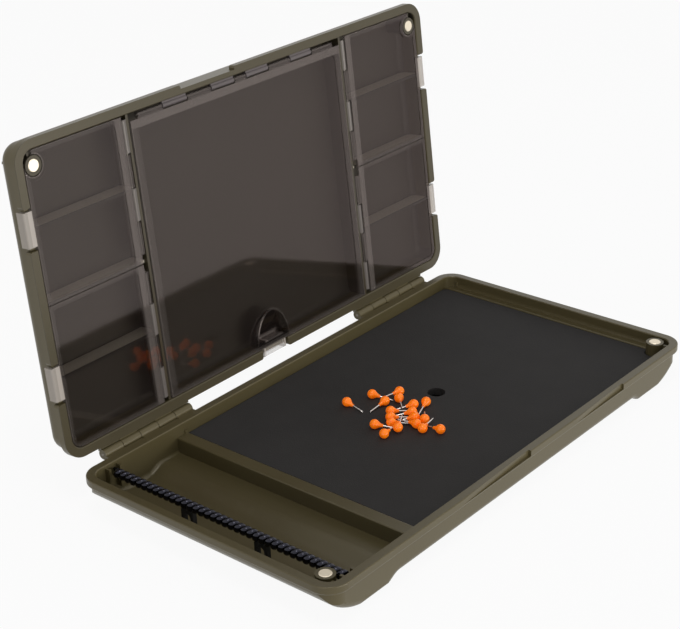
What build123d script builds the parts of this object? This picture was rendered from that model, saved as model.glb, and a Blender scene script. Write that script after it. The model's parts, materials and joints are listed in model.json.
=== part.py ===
import os
from math import acos, cos, pi, radians, sin, sqrt, tan

from build123d import *

os.makedirs("parts", exist_ok=True)

# An angler's rig box in millimetres. The origin is at the middle of the plane that the two feet stand on,
# X runs along the long side, Y from the front to the hinge and Z up. The lid stands open, as it rests.

# Case
case_length = 350.0
case_width = 186.0
base_height = 24.0
lid_height = 17.5
corner_radius = 13.0
lip_overhang = 2.6
lip_height = 5.0
wall = 3.0
skin = 2.0
rim = base_height

wall_length = case_length - 2 * lip_overhang
wall_width = case_width - 2 * lip_overhang
wall_corner = corner_radius - lip_overhang
room_length = wall_length - 2 * wall
room_width = wall_width - 2 * wall
room_corner = wall_corner - wall

# Feet and the raised middle between them, counted from the case's ends
foot_rise = 4.5
foot_inset = 34.0
foot_length = 11.0
foot_slope = 14.0
end_curve_inset = 18.0
end_curve_top = 18.0
foot_flat_end = case_length / 2 - foot_inset
foot_flat_start = foot_flat_end - foot_length
foot_start = foot_flat_start - foot_slope
end_curve_reach = case_length / 2 - end_curve_inset

# Rounded lower edges
base_edge_round = 4.0
tub_edge_round = 8.0
tub_margin = 1.0
room_edge_round = 3.0
lid_edge_round = 6.0
mouth_bevel = 0.5
lip_under_round = 1.2
lip_top_round = 0.7

# Thumb scallops in the front of the lip: from, to, depth at the deep end
thumb_scallops = ((-65.0, 0.0, 1.8), (48.0, 100.0, 1.4))
scallop_height = 3.5
scallop_end_run = 6.0

# Main hinge
hinge_y = case_width / 2 + 4.7
hinge_group_inset = 60.0
hinge_group_x = case_length / 2 - hinge_group_inset
knuckle_pitch = 14.2
knuckle_gap = 0.4
knuckle_radius = 3.0
hinge_pin_radius = 1.0
pin_clearance = 0.05
lid_open_angle = 95.8

# Narrow compartment, divider, ledge and the seats under the board
narrow_room_length = 68.4
divider_ledge = 9.0
divider_left = narrow_room_length - room_length / 2
divider_right = divider_left + divider_ledge
divider_top = rim - 7.8
divider_round = 0.9
divider_slot_wall = 2.2
end_ledge_width = 5.5
end_ledge_inner = room_length / 2 - end_ledge_width
end_ledge_top = rim - 7.5
board_seat_width = 3.0
nub_radius = 1.1
nub_height = 2.6
nub_inset = 6.0

# Magnet posts
post_end_inset = 12.5
post_front_inset = 14.7
post_x = case_length / 2 - post_end_inset
post_y = post_front_inset - case_width / 2
post_radius = 5.5
post_drop = 0.6
magnet_radius = 3.6
magnet_thickness = 2.6
magnet_clearance = 0.03
magnet_proud = 0.3
magnet_edge = 0.3
post_rib_width = 1.4
post_rib_tilts = (15, 75)
post_rib_drop = 2.0
base_rib_reach = 12.0
lid_rib_reach = 8.4

# Foam board
board_thickness = 5.0
board_top = rim - 8.3
board_clearance = 0.3
finger_hole_x = 36.7
finger_hole_y = 0.6
finger_hole_radius = 5.6

# Spring and the ears at its ends
spring_wall_gap = 16.0
spring_x = spring_wall_gap - room_length / 2
spring_z = rim - 5.0
spring_turns = 37
spring_end_run = 6.0
spring_half = room_width / 2 - spring_end_run
spring_pitch = 2 * spring_half / spring_turns
spring_coil_radius = 2.15
spring_wire = 2.0
spring_end_bend = 2.1
ear_thickness = 1.6
ear_reach = 6.5
ear_low = 8.0
ear_rise = 3.2
ear_clearance = 0.2
spring_outer_radius = spring_coil_radius + spring_wire / 2
support_y = 27.0
support_width = 9.0
support_thickness = 3.0
support_leg = 2.0
support_pad_top = 6.4
support_clearance = 0.1

# Doors
door_thickness = 1.8
door_recess = 0.6
door_gap = 0.4
door_wall_gap = 0.6
door_post_gap = 0.7
door_axis_depth = 2.4
door_knuckle_radius = 1.7
door_pin_radius = 0.6
hinge_panel_gap = 2.0
side_room_length = 76.0
partition_thickness = 1.8
partition_outer = room_length / 2 - side_room_length
partition_inner = partition_outer - partition_thickness
partition_top = rim + 1.4
insert_clearance = 0.05
side_axis_x = partition_outer + 2.0
centre_axis_y = 2.8 - room_width / 2
divider_y = room_width / 4
divider_width = 1.6
clip_width = 20.0
clip_shift = 1.3
clip_y = divider_y + clip_shift
clip_leg = 6.5
clip_thickness = 2.0
clip_root = 2.0
clip_round = 1.2
panel_recess = 0.4
panel_border = 2.5
panel_hinge_border = 5.0
panel_corner = 3.0
notch_width = 24.0
notch_drop = 2.8
lid_notch_x = -27.5
lid_notch_length = 45.0
lid_notch_depth = 2.3
clip_reach = 0.5
clip_bead = 0.35
scoop_half_width = 14.0
scoop_height = 22.0
scoop_depth = 5.4
scoop_wall = 1.6
scoop_strip = 4.3
scoop_floor_run = 4.5

# Knuckles of the doors: four of one length along each side door, and one short and eight long at the centre
side_knuckle_start = 5.0
side_knuckle_end_gap = 2.4
side_knuckle = (room_width / 2 - side_knuckle_start - side_knuckle_end_gap) / 4
fixed_side_knuckles = [side_knuckle_start + side_knuckle * (k + 0.5) for k in (1, 3)]
moving_side_knuckles = [side_knuckle_start + side_knuckle * (k + 0.5) for k in (0, 2)]
middle_knuckle = 10.0
centre_knuckle_end_gap = 6.6
centre_knuckle = (partition_inner - middle_knuckle / 2 - centre_knuckle_end_gap) / 4
centre_knuckle_places = [
    side * (middle_knuckle / 2 + centre_knuckle * (k + 0.5)) for side in (-1, 1) for k in range(4)
]

# Rig pins
head_radius = 2.9
neck_radius = 0.9
neck_reach = 5.2
shaft_radius = 0.5
pin_reach = 13.7
point_length = 1.5
point_radius = 0.15
head_rest = head_radius
tip_rest = 0.6

# Where the loose pins lie: head across, head along, head height over the board, heading, tip height
rig_pins = [
    (-10.0, 33.0, head_rest, -95, tip_rest),
    (7.0, 27.0, head_rest, -71, tip_rest),
    (5.0, 15.5, head_rest, 176, tip_rest),
    (20.0, 16.0, head_rest, 167, 2.9),
    (13.0, 11.0, head_rest, -134, 2.9),
    (-3.0, 5.0, head_rest, -37, tip_rest),
    (-9.0, 0.5, head_rest, -39, tip_rest),
    (-14.0, -4.0, head_rest, -42, tip_rest),
    (-17.5, -11.8, 3.8, 27, 4.5),
    (-21.5, 2.5, head_rest, -60, tip_rest),
    (-27.0, -9.0, head_rest, 4, 2.4),
    (12.0, -1.0, head_rest, 146, tip_rest),
    (4.0, -6.0, head_rest, 139, tip_rest),
    (0.0, -11.0, head_rest, 142, tip_rest),
    (19.0, -5.0, head_rest, -163, tip_rest),
    (-6.2, -17.0, head_rest, 100, 2.6),
    (1.3, -17.2, head_rest, 37, tip_rest),
    (-8.4, -23.0, head_rest, 9, 2.9),
    (-3.0, -32.0, head_rest, 87, tip_rest),
]

closed_frame = Plane(origin=(0, hinge_y, rim))
open_frame = Plane(
    origin=(0, hinge_y, rim),
    x_dir=(1, 0, 0),
    z_dir=(0, sin(radians(lid_open_angle)), cos(radians(lid_open_angle))),
)


def footed_slab(half_length, half_width, inset, edge_round):
    """A slab with the long side view of the tray: a raised middle, two feet and swept-up ends."""
    low = inset
    middle = foot_rise + min(inset, skin)
    with BuildPart() as slab:
        with BuildSketch(Plane.XZ):
            with BuildLine():
                right = [
                    Line((0, middle), (foot_start - inset, middle)),
                    Bezier(
                        (foot_start - inset, middle),
                        (foot_start + 6 - inset, middle),
                        (foot_flat_start - 6 - inset, low),
                        (foot_flat_start - inset, low),
                    ),
                    Line((foot_flat_start - inset, low), (foot_flat_end, low)),
                    Bezier(
                        (foot_flat_end, low),
                        (end_curve_reach - inset / 2, low),
                        (half_length, end_curve_top - 6.5 + inset / 2),
                        (half_length, end_curve_top + inset / 2),
                    ),
                    Line((half_length, end_curve_top + inset / 2), (half_length, rim)),
                ]
                mirror(*[right], about=Plane.YZ)
                Line((-half_length, rim), (half_length, rim))
            make_face()
        extrude(amount=half_width, both=True)
        long_faces = slab.faces().filter_by(Axis.Y)
        low_edges = [
            e for f in long_faces for e in f.edges() if e.center().Z < end_curve_top - 2
        ]
        fillet(low_edges, edge_round)
    return slab.part


def rounded_tub(length, width, corner, low, high, edge_round):
    """A block with rounded corners in plan and a rounded lower edge all round."""
    with BuildPart() as tub:
        with BuildSketch(Plane.XY.offset(low)):
            RectangleRounded(length, width, corner)
        extrude(amount=high - low)
        fillet(tub.edges().group_by(Axis.Z)[0], edge_round)
    return tub.part


# Solid body of the tray and the room inside it

with BuildPart() as tray_body:
    add(footed_slab(wall_length / 2, wall_width / 2, 0.0, base_edge_round))
    with BuildSketch(Plane.XY):
        RectangleRounded(wall_length, wall_width, wall_corner)
    extrude(amount=rim, mode=Mode.INTERSECT)
    # A slightly larger rounded tub takes the sharp turn off the four lower corners
    add(
        rounded_tub(
            wall_length + 2 * tub_margin,
            wall_width + 2 * tub_margin,
            wall_corner + tub_margin,
            -tub_margin / 2,
            rim,
            tub_edge_round,
        ),
        mode=Mode.INTERSECT,
    )

with BuildPart() as tray_room:
    add(footed_slab(room_length / 2, room_width / 2, 2.2, 2.0))
    add(
        rounded_tub(room_length, room_width, room_corner, skin, rim, room_edge_round),
        mode=Mode.INTERSECT,
    )

# Lip round the top of the tray, with two shallow thumb scallops in its front

with BuildPart() as tray_lip:
    with BuildSketch(Plane.XY.offset(rim - lip_height)):
        RectangleRounded(case_length, case_width, corner_radius)
    extrude(amount=lip_height)
    fillet(tray_lip.edges().group_by(Axis.Z)[0], lip_under_round)
    fillet(tray_lip.edges().group_by(Axis.Z)[-1], lip_top_round)
    front = -case_width / 2
    with BuildSketch(Plane.XY.offset(rim - scallop_height)):
        for start, end, depth in thumb_scallops:
            with BuildLine():
                Polyline(
                    (start, front - 0.5),
                    (end, front - 0.5),
                    (end, front + depth),
                    (end - scallop_end_run, front + depth),
                    (start, front),
                    close=True,
                )
            make_face()
    extrude(amount=lip_height, mode=Mode.SUBTRACT)

# Fittings inside the tray: divider, end ledge, board seats, posts, spring ears and pads

with BuildPart() as tray_fittings:
    with BuildSketch(Plane.XZ) as divider_section:
        with Locations(((divider_left + divider_right) / 2, (divider_top + foot_rise) / 2)):
            Rectangle(divider_ledge, divider_top - foot_rise)
        fillet(divider_section.vertices().sort_by(Axis.Y)[-2:], divider_round)
    extrude(amount=wall_width / 2, both=True)
    with BuildSketch(Plane.XZ) as ledge_section:
        with Locations((end_ledge_inner, end_ledge_top)):
            Rectangle(end_ledge_width + wall, 10.0, align=(Align.MIN, Align.MAX))
        fillet(ledge_section.vertices().sort_by(Axis.Y)[-2:].sort_by(Axis.X)[0], divider_round)
    extrude(amount=wall_width / 2, both=True)
    # A seat along each long wall, which the board rests on
    seat_middle = (divider_right + end_ledge_inner) / 2
    with Locations(*[(seat_middle, side * room_width / 2, 0) for side in (-1, 1)]):
        Box(
            end_ledge_inner - divider_right,
            2 * board_seat_width,
            board_top - board_thickness - board_clearance,
            align=(Align.CENTER, Align.CENTER, Align.MIN),
        )
    for side in (-1, 1):
        with Locations((side * post_x, post_y, 0)):
            Cylinder(
                post_radius,
                rim - post_drop,
                align=(Align.CENTER, Align.CENTER, Align.MIN),
            )
        for tilt in post_rib_tilts:
            heading = -tilt if side > 0 else 180 + tilt
            with Locations(Location((side * post_x, post_y, 0), (0, 0, heading))):
                Box(
                    base_rib_reach,
                    post_rib_width,
                    rim - post_rib_drop,
                    align=(Align.MIN, Align.CENTER, Align.MIN),
                )
        # Ears that hold the spring's two ends, and pads under its two supports
        for ear in (-1, 1):
            ear_x = spring_x + ear * (spring_outer_radius + ear_clearance + ear_thickness / 2)
            with Locations((ear_x, side * wall_width / 2, ear_low)):
                Box(
                    ear_thickness,
                    2 * ear_reach,
                    spring_z + ear_rise - ear_low,
                    align=(Align.CENTER, Align.CENTER, Align.MIN),
                )
        with Locations((spring_x, side * support_y, 0)):
            Box(
                support_thickness + 3.0,
                support_width + 2.0,
                support_pad_top,
                align=(Align.CENTER, Align.CENTER, Align.MIN),
            )
    # Two small nubs that keep the board in its corner
    with Locations(
        (divider_right - nub_radius - divider_round, room_width / 2, divider_top),
        (room_length / 2, room_width / 2 - nub_inset, end_ledge_top + 1.0),
    ):
        Cylinder(nub_radius, nub_height, align=(Align.CENTER, Align.CENTER, Align.MIN))
    add(tray_body.part, mode=Mode.INTERSECT)
    for side in (-1, 1):
        with Locations((side * post_x, post_y, rim - post_drop)):
            Cylinder(
                magnet_radius + magnet_clearance,
                magnet_thickness - magnet_proud,
                align=(Align.CENTER, Align.CENTER, Align.MAX),
                mode=Mode.SUBTRACT,
            )

# Base tray

with BuildPart() as base_shell:
    add(tray_body.part)
    add(tray_lip.part)
    add(tray_room.part, mode=Mode.SUBTRACT)
    # The inner edge of the rim is broken all round
    with BuildSketch(Plane.XY.offset(rim - mouth_bevel)):
        RectangleRounded(room_length, room_width, room_corner)
    extrude(amount=2 * mouth_bevel, taper=-45, mode=Mode.SUBTRACT)
    add(tray_fittings.part)
    # The divider is hollow from below
    with Locations(((divider_left + divider_right) / 2, 0, foot_rise - 1)):
        Box(
            divider_ledge - 2 * divider_slot_wall,
            2 * (room_width / 2 - 4),
            divider_top - foot_rise + 1 - divider_slot_wall,
            align=(Align.CENTER, Align.CENTER, Align.MIN),
            mode=Mode.SUBTRACT,
        )
    # Hinge knuckles, the two outer ones and the middle one of each group
    for side in (-1, 1):
        for step in (-2, 0, 2):
            x = side * hinge_group_x + step * knuckle_pitch
            with BuildSketch(Plane.YZ.offset(x)):
                with Locations((hinge_y, rim)):
                    Circle(knuckle_radius)
                    Rectangle(
                        hinge_y - case_width / 2 + 1.0,
                        knuckle_radius - 0.3,
                        align=(Align.MAX, Align.MAX),
                    )
                with Locations((hinge_y - 0.01, rim - 0.3)):
                    Rectangle(
                        hinge_y - case_width / 2 + 1.0,
                        knuckle_radius - 0.3,
                        align=(Align.MAX, Align.MAX),
                    )
            extrude(amount=(knuckle_pitch - knuckle_gap) / 2, both=True)
        with Locations(Location((side * hinge_group_x, hinge_y, rim), (0, 90, 0))):
            Cylinder(hinge_pin_radius + pin_clearance, 6 * knuckle_pitch, mode=Mode.SUBTRACT)
base_shell.part.label = "base_shell"
export_step(base_shell.part, "parts/base_shell.step")

# Lid tray, drawn closed over the base and then swung open

lid_top = rim + lid_height
door_low = rim + door_recess
door_high = door_low + door_thickness
door_axis_z = rim + door_axis_depth
swing = open_frame.location * closed_frame.location.inverse()
quarters = [(x, y) for x in (-1, 1) for y in (-1, 1)]

with BuildPart() as lid_lip:
    with BuildSketch(Plane.XY.offset(rim)) as lip_plan:
        RectangleRounded(case_length, case_width, corner_radius)
        with Locations(*[(x * case_length / 2, y * clip_y) for x, y in quarters]):
            Rectangle(2 * lip_overhang, notch_width, mode=Mode.SUBTRACT)
        with Locations((0, case_width / 2)):
            Rectangle(notch_width, 2 * lip_overhang, mode=Mode.SUBTRACT)
        with Locations((lid_notch_x, -case_width / 2)):
            Rectangle(lid_notch_length, 2 * lid_notch_depth, mode=Mode.SUBTRACT)
        lip_ends = [
            v
            for v in lip_plan.vertices()
            if (abs(v.X) > case_length / 2 - 0.01 and abs(v.Y) < clip_y + notch_width)
            or (abs(v.Y) > case_width / 2 - 0.01 and abs(v.X) < 60)
        ]
        fillet(lip_ends, 1.6)
    extrude(amount=lip_height)
    chamfer(lid_lip.edges().group_by(Axis.Z)[-1], 0.6)


def lid_room(clearance):
    """The room inside the closed lid, less a clearance all round."""
    with BuildPart() as room:
        with BuildSketch(Plane.XY.offset(rim - 1)):
            RectangleRounded(
                room_length - 2 * clearance,
                room_width - 2 * clearance,
                room_corner - clearance,
            )
        extrude(amount=lid_height - skin + 1 - clearance)
        fillet(room.edges().group_by(Axis.Z)[-1], lid_edge_round - skin - clearance)
    return room.part


with BuildPart() as closed_lid:
    with BuildSketch(Plane.XY.offset(rim)):
        RectangleRounded(wall_length, wall_width, wall_corner)
    extrude(amount=lid_height)
    fillet(closed_lid.edges().group_by(Axis.Z)[-1], lid_edge_round)
    add(lid_lip.part)
    add(lid_room(0.0), mode=Mode.SUBTRACT)
    with BuildSketch(Plane.XY.offset(rim + mouth_bevel)):
        RectangleRounded(room_length, room_width, room_corner)
    extrude(amount=-2 * mouth_bevel, taper=-45, mode=Mode.SUBTRACT)
    # The wall is let down under each clip
    with Locations(*[(x * (case_length / 2 - lip_overhang), y * clip_y, rim) for x, y in quarters]):
        Box(2 * wall + 1, notch_width, 2 * notch_drop, mode=Mode.SUBTRACT)
    with Locations((0, case_width / 2 - lip_overhang, rim)):
        Box(notch_width, 2 * wall + 1, 2 * notch_drop, mode=Mode.SUBTRACT)
    # Magnet posts, each tied to its corner by two ribs
    for side in (-1, 1):
        with Locations((side * post_x, post_y, rim + post_drop)):
            Cylinder(
                post_radius,
                lid_height - skin / 2 - post_drop,
                align=(Align.CENTER, Align.CENTER, Align.MIN),
            )
        for tilt in post_rib_tilts:
            heading = -tilt if side > 0 else 180 + tilt
            rib_place = (side * post_x, post_y, rim + post_rib_drop)
            with Locations(Location(rib_place, (0, 0, heading))):
                Box(
                    lid_rib_reach,
                    post_rib_width,
                    lid_height - skin / 2 - post_rib_drop,
                    align=(Align.MIN, Align.CENTER, Align.MIN),
                )
        with Locations((side * post_x, post_y, rim + post_drop)):
            Cylinder(
                magnet_radius + magnet_clearance,
                magnet_thickness - magnet_proud,
                align=(Align.CENTER, Align.CENTER, Align.MIN),
                mode=Mode.SUBTRACT,
            )
    # Fixed knuckles of the centre door, on the front wall
    for middle in centre_knuckle_places[::2]:
        with Locations(Location((middle, centre_axis_y, door_axis_z), (0, 90, 0))):
            Cylinder(door_knuckle_radius, centre_knuckle - 2 * door_gap)
        with Locations((middle, centre_axis_y, partition_top)):
            Box(
                centre_knuckle - 2 * door_gap,
                room_width / 2 + centre_axis_y + 0.5,
                door_axis_z + door_knuckle_radius - partition_top,
                align=(Align.CENTER, Align.MAX, Align.MIN),
            )
    with Locations(Location((0, centre_axis_y, door_axis_z), (0, 90, 0))):
        Cylinder(door_pin_radius + pin_clearance, 2 * partition_inner - 2, mode=Mode.SUBTRACT)
    # Knuckles of the main hinge, between those of the base
    for side in (-1, 1):
        for step in (-1, 1):
            x = side * hinge_group_x + step * knuckle_pitch
            with BuildSketch(Plane.YZ.offset(x)):
                with Locations((hinge_y, rim)):
                    Circle(knuckle_radius)
                with Locations((hinge_y, rim + 0.3)):
                    Rectangle(
                        hinge_y - case_width / 2 + 1.0,
                        knuckle_radius - 0.3,
                        align=(Align.MAX, Align.MIN),
                    )
            extrude(amount=(knuckle_pitch - knuckle_gap) / 2, both=True)
        with Locations(Location((side * hinge_group_x, hinge_y, rim), (0, 90, 0))):
            Cylinder(hinge_pin_radius + pin_clearance, 6 * knuckle_pitch, mode=Mode.SUBTRACT)

with BuildPart() as lid_shell:
    with Locations(swing):
        add(closed_lid.part)
lid_shell.part.label = "lid_shell"
export_step(lid_shell.part, "parts/lid_shell.step")

# Partitions along the side doors' hinges, set into the lid with the doors' fixed knuckles on them


def lid_partition(side):
    """One long partition with four fixed knuckles, drawn closed."""
    middle_x = side * (partition_inner + partition_outer) / 2
    with BuildPart() as partition:
        with Locations((middle_x, 0, partition_top)):
            Box(
                partition_thickness,
                room_width,
                lid_height,
                align=(Align.CENTER, Align.CENTER, Align.MIN),
            )
        for end in (-1, 1):
            for middle in fixed_side_knuckles:
                knuckle_place = (side * side_axis_x, end * middle, door_axis_z)
                with Locations(Location(knuckle_place, (90, 0, 0))):
                    Cylinder(door_knuckle_radius, side_knuckle - 2 * door_gap)
                with Locations((side * side_axis_x, end * middle, partition_top)):
                    Box(
                        side_axis_x - partition_inner,
                        side_knuckle - 2 * door_gap,
                        door_axis_z + door_knuckle_radius - partition_top,
                        align=(Align.MAX if side > 0 else Align.MIN, Align.CENTER, Align.MIN),
                    )
        with Locations(Location((side * side_axis_x, 0, door_axis_z), (90, 0, 0))):
            Cylinder(door_pin_radius + pin_clearance, room_width, mode=Mode.SUBTRACT)
        add(lid_room(insert_clearance), mode=Mode.INTERSECT)
    return partition.part


closed_partitions = {side: lid_partition(side) for side in (-1, 1)}

with BuildPart() as lid_partition_left:
    with Locations(swing):
        add(closed_partitions[-1])
lid_partition_left.part.label = "lid_partition_left"
export_step(lid_partition_left.part, "parts/lid_partition_left.step")

with BuildPart() as lid_partition_right:
    with Locations(swing):
        add(closed_partitions[1])
lid_partition_right.part.label = "lid_partition_right"
export_step(lid_partition_right.part, "parts/lid_partition_right.step")

# Six short dividers between the partitions and the ends, kept clear of the doors and their hinges

divider_start = partition_outer + insert_clearance
divider_reach = room_length / 2 - divider_start
divider_low = door_high + board_clearance
divider_places = [
    (side * (divider_start + divider_reach / 2), y, divider_low)
    for side in (-1, 1)
    for y in (-divider_y, 0, divider_y)
]
hinge_room = door_knuckle_radius + insert_clearance

with BuildPart() as closed_dividers:
    with Locations(*divider_places):
        Box(
            divider_reach,
            divider_width,
            lid_height,
            align=(Align.CENTER, Align.CENTER, Align.MIN),
        )
    for side in (-1, 1):
        with Locations(Location((side * side_axis_x, 0, door_axis_z), (90, 0, 0))):
            Cylinder(hinge_room, room_width, mode=Mode.SUBTRACT)
            Box(
                2 * (side_axis_x - partition_inner),
                2 * hinge_room,
                room_width,
                align=(Align.MAX if side > 0 else Align.MIN, Align.CENTER, Align.CENTER),
                mode=Mode.SUBTRACT,
            )
    add(lid_room(insert_clearance), mode=Mode.INTERSECT)

with BuildPart() as lid_dividers:
    with Locations(swing):
        add(closed_dividers.part)
lid_dividers.part.label = "lid_dividers"
export_step(lid_dividers.part, "parts/lid_dividers.step")

# Pins of the main hinge


def hinge_pin(side):
    """A steel pin through one group of five knuckles."""
    with BuildPart() as pin:
        with Locations(Location((side * hinge_group_x, hinge_y, rim), (0, 90, 0))):
            Cylinder(hinge_pin_radius, 5 * knuckle_pitch)
        chamfer(pin.edges().filter_by(GeomType.CIRCLE), 0.2)
    return pin.part


with BuildPart() as main_hinge_pin_left:
    add(hinge_pin(-1))
main_hinge_pin_left.part.label = "main_hinge_pin_left"
export_step(main_hinge_pin_left.part, "parts/main_hinge_pin_left.step")

with BuildPart() as main_hinge_pin_right:
    add(hinge_pin(1))
main_hinge_pin_right.part.label = "main_hinge_pin_right"
export_step(main_hinge_pin_right.part, "parts/main_hinge_pin_right.step")

# Magnets, one in each post


def magnet(side, low):
    """A round magnet whose lower face is at the given height."""
    with BuildPart() as disc:
        with BuildSketch(Plane.XY.offset(low)):
            with Locations((side * post_x, post_y)):
                Circle(magnet_radius)
        extrude(amount=magnet_thickness)
        chamfer(disc.edges().filter_by(GeomType.CIRCLE), magnet_edge)
    return disc.part


base_magnet_low = rim - post_drop + magnet_proud - magnet_thickness
lid_magnet_low = rim + post_drop - magnet_proud
closed_lid_magnet_left = magnet(-1, lid_magnet_low)
closed_lid_magnet_right = magnet(1, lid_magnet_low)

with BuildPart() as base_magnet_left:
    add(magnet(-1, base_magnet_low))
base_magnet_left.part.label = "base_magnet_left"
export_step(base_magnet_left.part, "parts/base_magnet_left.step")

with BuildPart() as base_magnet_right:
    add(magnet(1, base_magnet_low))
base_magnet_right.part.label = "base_magnet_right"
export_step(base_magnet_right.part, "parts/base_magnet_right.step")

with BuildPart() as lid_magnet_left:
    with Locations(swing):
        add(closed_lid_magnet_left)
lid_magnet_left.part.label = "lid_magnet_left"
export_step(lid_magnet_left.part, "parts/lid_magnet_left.step")

with BuildPart() as lid_magnet_right:
    with Locations(swing):
        add(closed_lid_magnet_right)
lid_magnet_right.part.label = "lid_magnet_right"
export_step(lid_magnet_right.part, "parts/lid_magnet_right.step")

# Pins of the five doors, drawn closed

side_pin_start = side_knuckle_start + door_gap
side_pin_end = side_knuckle_start + 4 * side_knuckle - door_gap
centre_pin_end = partition_inner - centre_knuckle_end_gap - door_gap


def side_door_pin(side, end):
    """The steel pin of one side door."""
    middle = end * (side_pin_start + side_pin_end) / 2
    with BuildPart() as pin:
        with Locations(Location((side * side_axis_x, middle, door_axis_z), (90, 0, 0))):
            Cylinder(door_pin_radius, side_pin_end - side_pin_start)
        chamfer(pin.edges().filter_by(GeomType.CIRCLE), 0.15)
    return pin.part


closed_pins = {(side, end): side_door_pin(side, end) for side, end in quarters}

with BuildPart() as closed_centre_pin:
    with Locations(Location((0, centre_axis_y, door_axis_z), (0, 90, 0))):
        Cylinder(door_pin_radius, 2 * centre_pin_end)
    chamfer(closed_centre_pin.edges().filter_by(GeomType.CIRCLE), 0.15)

with BuildPart() as door_pin_left_front:
    with Locations(swing):
        add(closed_pins[-1, -1])
door_pin_left_front.part.label = "door_pin_left_front"
export_step(door_pin_left_front.part, "parts/door_pin_left_front.step")

with BuildPart() as door_pin_left_rear:
    with Locations(swing):
        add(closed_pins[-1, 1])
door_pin_left_rear.part.label = "door_pin_left_rear"
export_step(door_pin_left_rear.part, "parts/door_pin_left_rear.step")

with BuildPart() as door_pin_right_front:
    with Locations(swing):
        add(closed_pins[1, -1])
door_pin_right_front.part.label = "door_pin_right_front"
export_step(door_pin_right_front.part, "parts/door_pin_right_front.step")

with BuildPart() as door_pin_right_rear:
    with Locations(swing):
        add(closed_pins[1, 1])
door_pin_right_rear.part.label = "door_pin_right_rear"
export_step(door_pin_right_rear.part, "parts/door_pin_right_rear.step")

with BuildPart() as door_pin_centre:
    with Locations(swing):
        add(closed_centre_pin.part)
door_pin_centre.part.label = "door_pin_centre"
export_step(door_pin_centre.part, "parts/door_pin_centre.step")

# Clip of a door: a tongue over the wall, a leg down its outer face and a bead inside the leg

clip_top = rim + clip_leg


def clip(plane, wall_face, panel_edge):
    """A clip drawn across the wall on a plane whose X points outwards, middle of its width at the plane."""
    leg_inner = wall_face + clip_reach
    leg_outer = leg_inner + clip_thickness
    with BuildPart() as hook:
        with BuildSketch(plane) as section:
            with BuildLine():
                Polyline(
                    (panel_edge - clip_root, door_low),
                    (leg_outer, door_low),
                    (leg_outer, clip_top),
                    (leg_inner, clip_top),
                    (leg_inner - clip_bead, clip_top - 0.9),
                    (leg_inner, clip_top - 1.8),
                    (leg_inner, door_high),
                    (panel_edge - clip_root, door_high),
                    close=True,
                )
            make_face()
            fillet(section.vertices().sort_by(Axis.X)[-2:].sort_by(Axis.Y)[0:1], clip_round)
        extrude(amount=clip_width / 2, both=True)
    return hook.part


def side_door(side, end):
    """One smoked door over a side compartment, with its knuckles and clip, drawn closed."""
    panel_outer = room_length / 2 - door_wall_gap
    panel_far = room_width / 2 - door_wall_gap
    panel_inner = side_axis_x + hinge_panel_gap
    recess_start = panel_inner + panel_hinge_border
    recess_end = panel_outer - panel_border
    with BuildPart() as door:
        with BuildSketch(Plane.XY.offset(door_low)) as panel:
            with Locations(((panel_inner + panel_outer) / 2, end * (door_gap + panel_far) / 2)):
                Rectangle(panel_outer - panel_inner, panel_far - door_gap)
            far_corner = panel.vertices().sort_by(Axis.X)[-2:].sort_by(Axis.Y)[-1 if end > 0 else 0]
            fillet(far_corner, room_corner - door_wall_gap)
            if end < 0:
                with Locations((post_x, post_y)):
                    Circle(post_radius + door_post_gap, mode=Mode.SUBTRACT)
                    Rectangle(20, 20, align=(Align.MIN, Align.MAX), mode=Mode.SUBTRACT)
        extrude(amount=door_thickness)
        # The sheet is a little thinner inside its border, which also runs round the magnet's post
        with BuildSketch(Plane.XY.offset(door_low)):
            with Locations(((recess_start + recess_end) / 2, end * (door_gap + panel_far) / 2)):
                RectangleRounded(
                    recess_end - recess_start,
                    panel_far - door_gap - 2 * panel_border,
                    panel_corner,
                )
            if end < 0:
                with Locations((post_x, post_y)):
                    Circle(post_radius + door_post_gap + panel_border, mode=Mode.SUBTRACT)
        extrude(amount=panel_recess, mode=Mode.SUBTRACT)
        for middle in moving_side_knuckles:
            with BuildSketch(Plane.XZ.offset(-end * middle)):
                with Locations((side_axis_x, door_axis_z)):
                    Circle(door_knuckle_radius)
                with Locations((side_axis_x, door_axis_z)):
                    Rectangle(
                        hinge_panel_gap + 0.5,
                        door_knuckle_radius,
                        align=(Align.MIN, Align.MAX),
                    )
            extrude(amount=side_knuckle / 2 - door_gap, both=True)
        with Locations(Location((side_axis_x, 0, door_axis_z), (90, 0, 0))):
            Cylinder(door_pin_radius + pin_clearance, room_width, mode=Mode.SUBTRACT)
        add(clip(Plane.XZ.offset(-end * clip_y), wall_length / 2, panel_outer))
    with BuildPart() as placed:
        add(door.part if side > 0 else door.part.mirror(Plane.YZ))
    return placed.part


closed_doors = {(side, end): side_door(side, end) for side, end in quarters}

with BuildPart() as door_left_front:
    with Locations(swing):
        add(closed_doors[-1, -1])
door_left_front.part.label = "door_left_front"
export_step(door_left_front.part, "parts/door_left_front.step")

with BuildPart() as door_left_rear:
    with Locations(swing):
        add(closed_doors[-1, 1])
door_left_rear.part.label = "door_left_rear"
export_step(door_left_rear.part, "parts/door_left_rear.step")

with BuildPart() as door_right_front:
    with Locations(swing):
        add(closed_doors[1, -1])
door_right_front.part.label = "door_right_front"
export_step(door_right_front.part, "parts/door_right_front.step")

with BuildPart() as door_right_rear:
    with Locations(swing):
        add(closed_doors[1, 1])
door_right_rear.part.label = "door_right_rear"
export_step(door_right_rear.part, "parts/door_right_rear.step")

# Centre door, with a thumb scoop behind its clip

centre_far = room_width / 2 - door_wall_gap
centre_near = centre_axis_y + hinge_panel_gap
centre_recess_start = centre_near + panel_hinge_border
centre_recess_end = centre_far - panel_border
scoop_back = centre_far - scoop_height
scoop_end = centre_far - scoop_strip


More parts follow.
